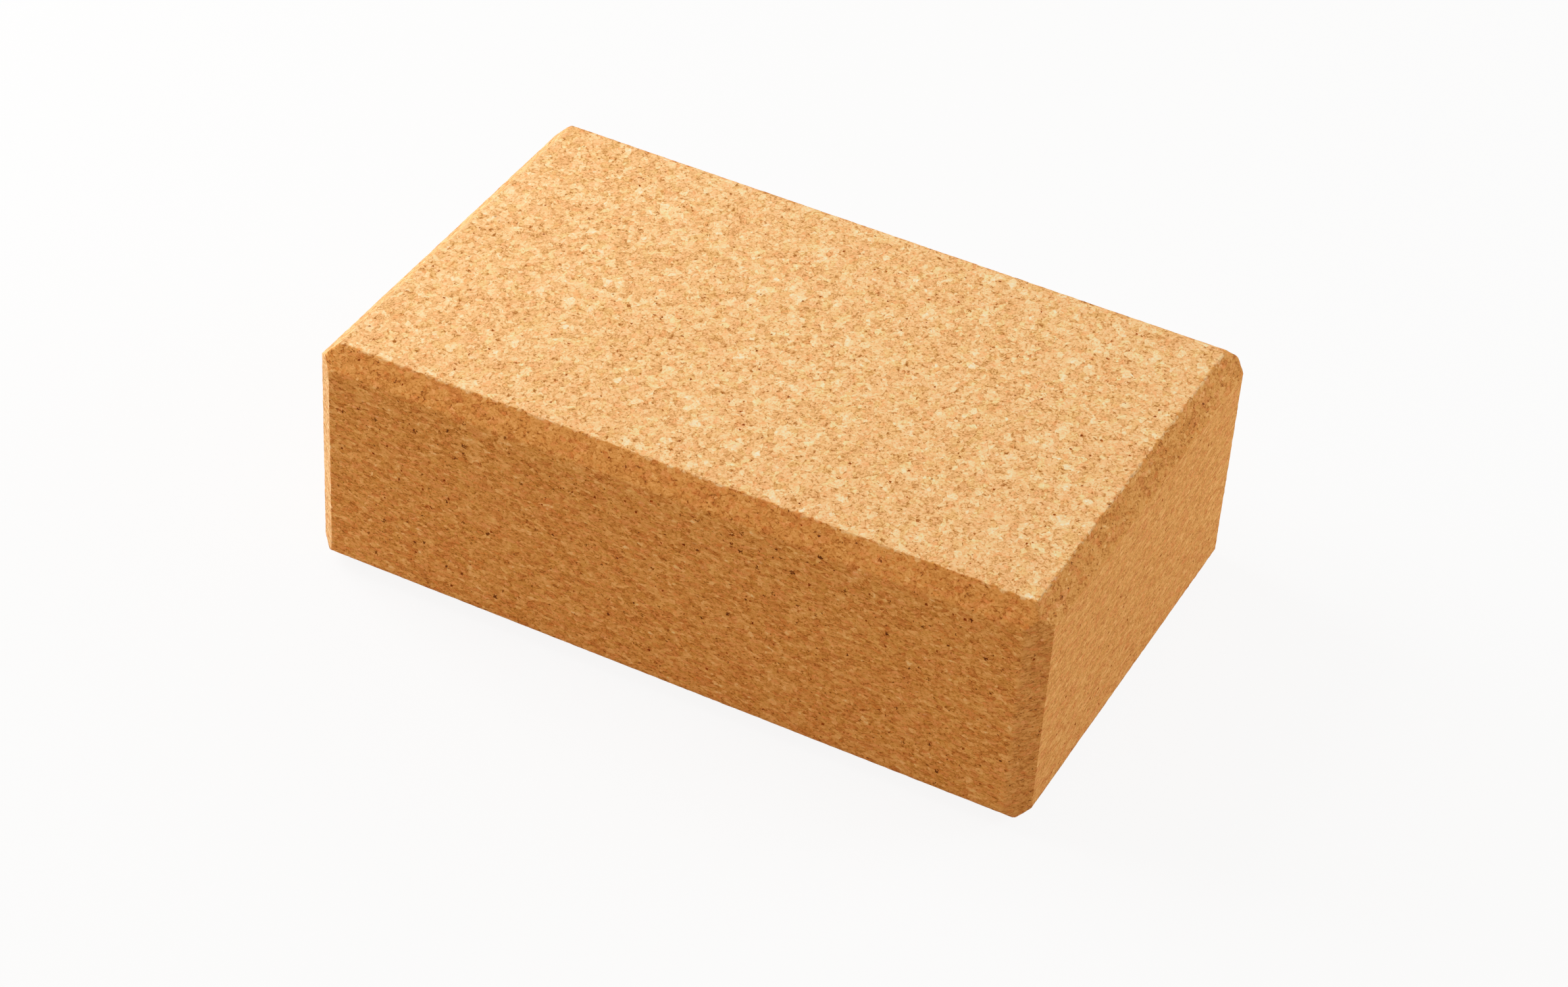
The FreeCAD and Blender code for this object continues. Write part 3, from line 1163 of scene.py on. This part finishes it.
@dataclass
class Studio:
    """Pale floor, three softboxes, even white surroundings and the camera of the photograph.

    The side lamps are a little cool and the surroundings a little warm. To the camera and to reflections
    the surroundings are white, and so is white_share of the floor, which keeps the block's shadow. The
    camera was worked out from the block's edges in the photograph: lengths are in millimetres and angles
    in degrees.
    """

    floor_size: float = 6000.0
    floor_colour: str = "#E6E6E6"
    white_share: float = 0.9
    surround: float = 0.46
    surround_colour: str = "#FFE7CB"
    softboxes: tuple[Softbox, ...] = (
        Softbox("key_softbox", (-0.75, 0.0, 0.66), 6.6),
        Softbox("left_softbox", (-0.95, 0.0, 0.3), 4.0, colour="#D7ECFF"),
        Softbox("right_softbox", (0.75, 0.6, 0.3), 6.0, colour="#D0EBFF"),
    )
    lamp_aim: tuple[float, float, float] = (0.0, 0.0, 40.0)
    azimuth: float = 25.017
    elevation: float = 38.605
    roll: float = 4.116
    aim: tuple[float, float, float] = (4.80, -5.49, 29.22)
    distance: float = 1126.9
    lens: float = 91.01
    sensor: float = 36.0

    def build(self) -> None:
        """Set up the floor, the light and the camera."""
        self.lay_floor()
        self.light()
        self.place_camera()
        bpy.context.scene.view_settings.view_transform = "Standard"

    def seen(self, tree: NodeTree) -> Node:
        """Tell what the camera, a reflection or a pane of glass sees from what only lights the block.

        Args:
            tree: Shader or world tree that gets the nodes.

        Returns:
            Node with 1 where it is seen, and 0 where it only lights.
        """
        rays = add_node(tree, "ShaderNodeLightPath").outputs
        seen: Any = rays["Is Camera Ray"]
        for ray in ("Is Glossy Ray", "Is Transmission Ray"):
            seen = add_node(tree, "ShaderNodeMath", (seen, rays[ray]), operation="MAXIMUM")
        return seen

    def lay_floor(self) -> None:
        """Lay the floor, which is no part of the object and is clear from below."""
        mesh = bpy.data.meshes.new("floor")
        shape = bmesh.new()
        bmesh.ops.create_grid(shape, x_segments=1, y_segments=1, size=self.floor_size * HALF * MM)
        shape.to_mesh(mesh)
        shape.free()
        material = bpy.data.materials.new("matt studio floor")
        material.use_nodes = True
        tree = material.node_tree
        tree.nodes.clear()
        matt = add_node(tree, "ShaderNodeBsdfDiffuse", {"Color": linear(self.floor_colour)})
        white = add_node(tree, "ShaderNodeEmission", {"Color": linear(WHITE), "Strength": 1.0})
        share = add_node(tree, "ShaderNodeMath", (self.seen(tree), self.white_share), operation="MULTIPLY")
        mixed = add_node(tree, "ShaderNodeMixShader", (share, matt, white))
        below = add_node(tree, "ShaderNodeNewGeometry").outputs["Backfacing"]
        clear = add_node(tree, "ShaderNodeBsdfTransparent")
        one_sided = add_node(tree, "ShaderNodeMixShader", (below, mixed, clear))
        add_node(tree, "ShaderNodeOutputMaterial", {"Surface": one_sided})
        mesh.materials.append(material)
        floor = bpy.data.objects.new("floor", mesh)
        bpy.context.scene.collection.objects.link(floor)

    def light(self) -> None:
        """Hang the softboxes and make the surroundings, white to the camera and to reflections."""
        for softbox in self.softboxes:
            softbox.build(Vector(self.lamp_aim) * MM)
        world = bpy.data.worlds.new("studio")
        world.use_nodes = True
        bpy.context.scene.world = world
        tree = world.node_tree
        tree.nodes.clear()
        seen = self.seen(tree)
        strength = add_node(
            tree, "ShaderNodeMapRange", {"Value": seen, "To Min": self.surround, "To Max": 1.0}
        )
        colour = add_node(
            tree, "ShaderNodeMix", {"Factor": seen, "A": linear(self.surround_colour), "B": linear(WHITE)},
            data_type="RGBA",
        )
        white = add_node(tree, "ShaderNodeBackground", {"Color": colour, "Strength": strength})
        add_node(tree, "ShaderNodeOutputWorld", {"Surface": white})

    def place_camera(self) -> None:
        """Put the camera where the photograph was taken from."""
        data = bpy.data.cameras.new("camera")
        data.sensor_width = self.sensor
        data.lens = self.lens
        camera = bpy.data.objects.new("camera", data)
        turn = math.radians(self.azimuth)
        rise = math.radians(self.elevation)
        back = Vector((math.sin(turn) * math.cos(rise), -math.cos(turn) * math.cos(rise), math.sin(rise)))
        upright = back.to_track_quat("Z", "Y").to_matrix().to_4x4()
        spot = Matrix.Translation(Vector(self.aim) * MM + back * self.distance * MM)
        camera.matrix_world = spot @ upright @ Matrix.Rotation(math.radians(self.roll), 4, "Z")
        bpy.context.scene.collection.objects.link(camera)
        bpy.context.scene.camera = camera


def main() -> None:
    """Build the block and the studio."""
    logging.basicConfig(level=logging.INFO, format="%(name)s: %(message)s")
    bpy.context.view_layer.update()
    finish = PressedCork()
    block = CorkBlock.from_frame().build(finish.material())
    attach(block, CAD_BODY)
    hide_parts(CAD_NODE)
    log.info("%s: %d faces", block.name, len(block.data.polygons))
    Studio().build()


if __name__ == "__main__":
    main()
